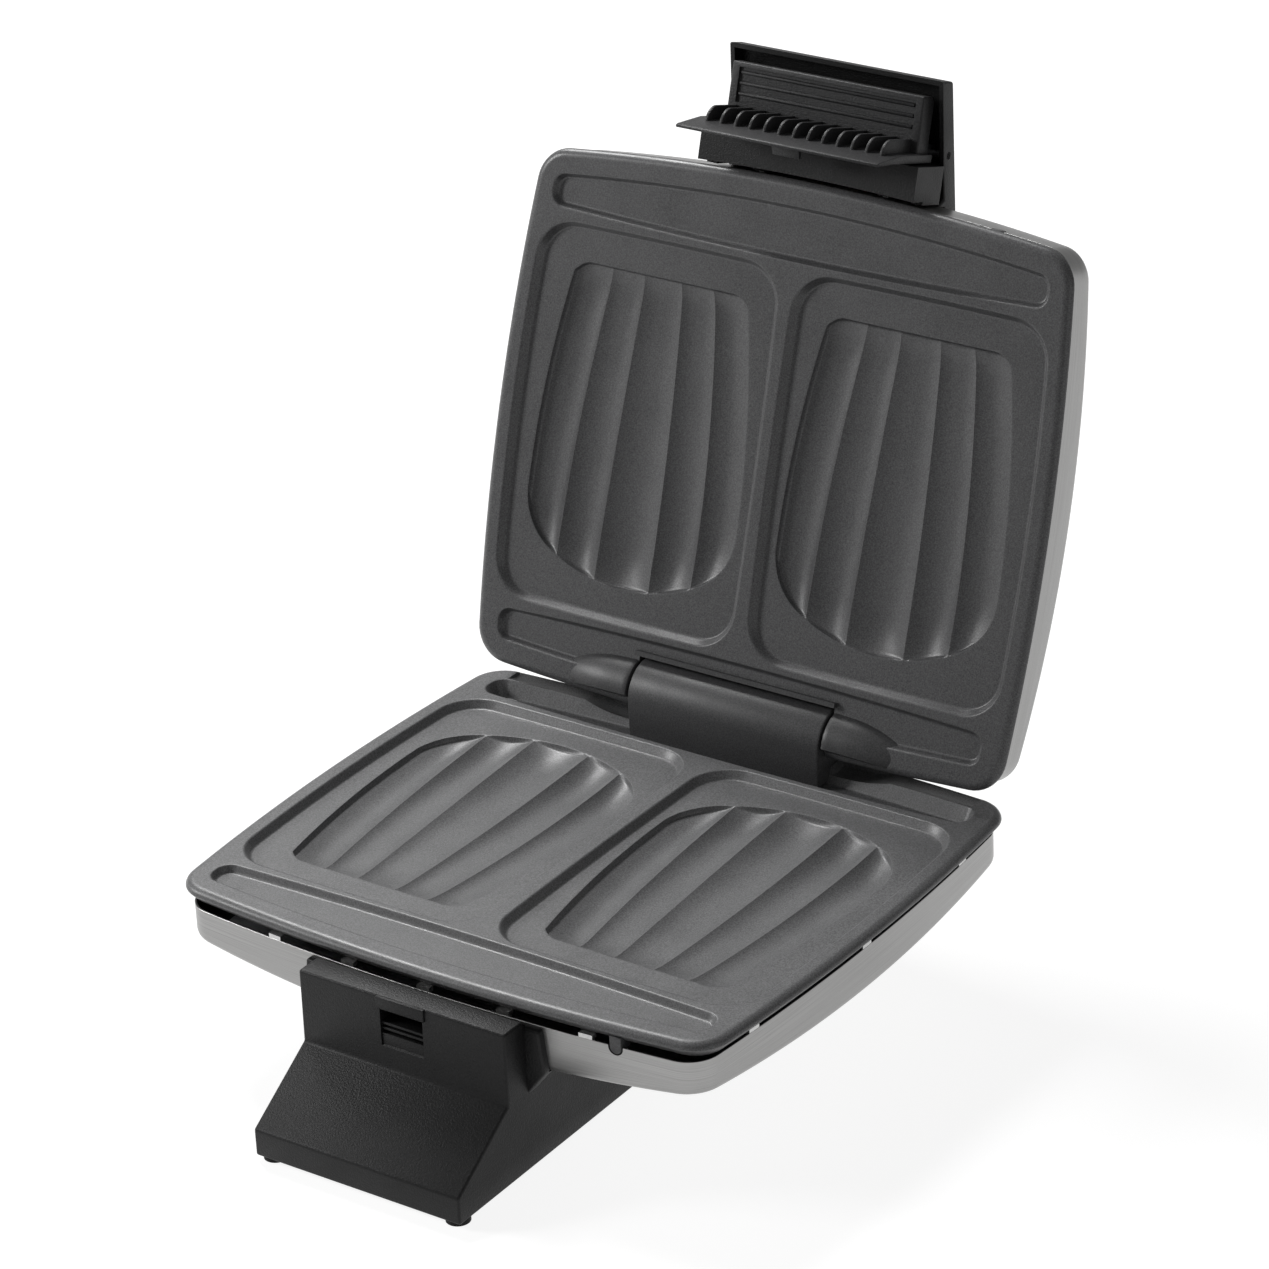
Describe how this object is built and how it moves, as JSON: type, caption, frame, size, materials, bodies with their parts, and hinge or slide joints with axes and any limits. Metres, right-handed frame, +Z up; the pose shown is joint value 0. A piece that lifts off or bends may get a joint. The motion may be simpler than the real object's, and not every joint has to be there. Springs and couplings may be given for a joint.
{
  "type": "sandwich toaster",
  "caption": "Hinged countertop sandwich toaster with ribbed cast cooking plates, domed steel shells, a plastic stand and a latching handle",
  "frame": {"origin": "on the table, under the middle of the open toaster's extent", "axes": "+Z up; +X to the right and +Y to the rear, as seen by a user in front; the lid stands open, as in the picture"},
  "size_m": [0.27, 0.3696, 0.3449],
  "materials": {
    "brushed_steel": "brushed",
    "coated_cast_aluminium": "dark satin non-stick coating on cast metal",
    "black_plastic": "fine grained, satin",
    "black_rubber": "matt",
    "plated_steel": "zinc plated",
    "sheet_aluminium": "mill finish",
    "dark_element_steel": "heat-darkened",
    "ceramic": "unglazed",
    "lead_sleeve": "woven sleeve",
    "red_lens": "clear red",
    "lamp_glass": "clear"
  },
  "bodies": {
    "base": {"pedestal": "black_plastic", "base_cover": "black_plastic", "rubber_feet": "black_rubber", "base_screws": "plated_steel", "cord_bush": "black_plastic", "lower_pan": "brushed_steel", "wire_grommet": "black_rubber", "terminal_block": "ceramic", "lower_plate": "coated_cast_aluminium", "lower_rim_tabs": "sheet_aluminium", "plate_screws": "plated_steel", "lower_element": "dark_element_steel", "lower_clamps": "sheet_aluminium", "lower_clamp_screws": "plated_steel", "lower_reflector": "sheet_aluminium", "thermostat": "ceramic", "thermal_fuse": "ceramic", "supply_leads": "lead_sleeve", "lid_lead_base": "lead_sleeve", "hinge_pin": "plated_steel", "hinge_tube": "plated_steel"},
    "lid": {"lid_plate": "coated_cast_aluminium", "lid_pan": "brushed_steel", "lid_rim_tabs": "sheet_aluminium", "lid_element": "dark_element_steel", "lid_clamps": "sheet_aluminium", "lid_clamp_screws": "plated_steel", "lid_reflector": "sheet_aluminium", "lid_screws": "plated_steel", "lid_lead_end": "lead_sleeve", "handle_frame": "black_plastic", "handle_cover": "black_plastic", "handle_screws": "plated_steel", "pilot_lenses": "red_lens", "pilot_lamps": "lamp_glass", "latch_pin": "plated_steel", "latch_spring": "plated_steel"},
    "lever": {"latch_lever": "black_plastic"}
  },
  "joints": [
    {"name": "lid_hinge", "type": "hinge", "parent": "base", "child": "lid", "pos_m": [0, 0.08891, 0.0851], "axis": [1, 0, 0], "range_deg": [0, 107.8]},
    {"name": "latch_pivot", "type": "hinge", "parent": "lid", "child": "lever", "pos_m": [0, 0.17954, 0.31175], "axis": [-1, 0, 0], "range_deg": [0, 6.5], "stiffness_Nm_per_rad": 0.8, "springref_deg": -6.88}
  ]
}
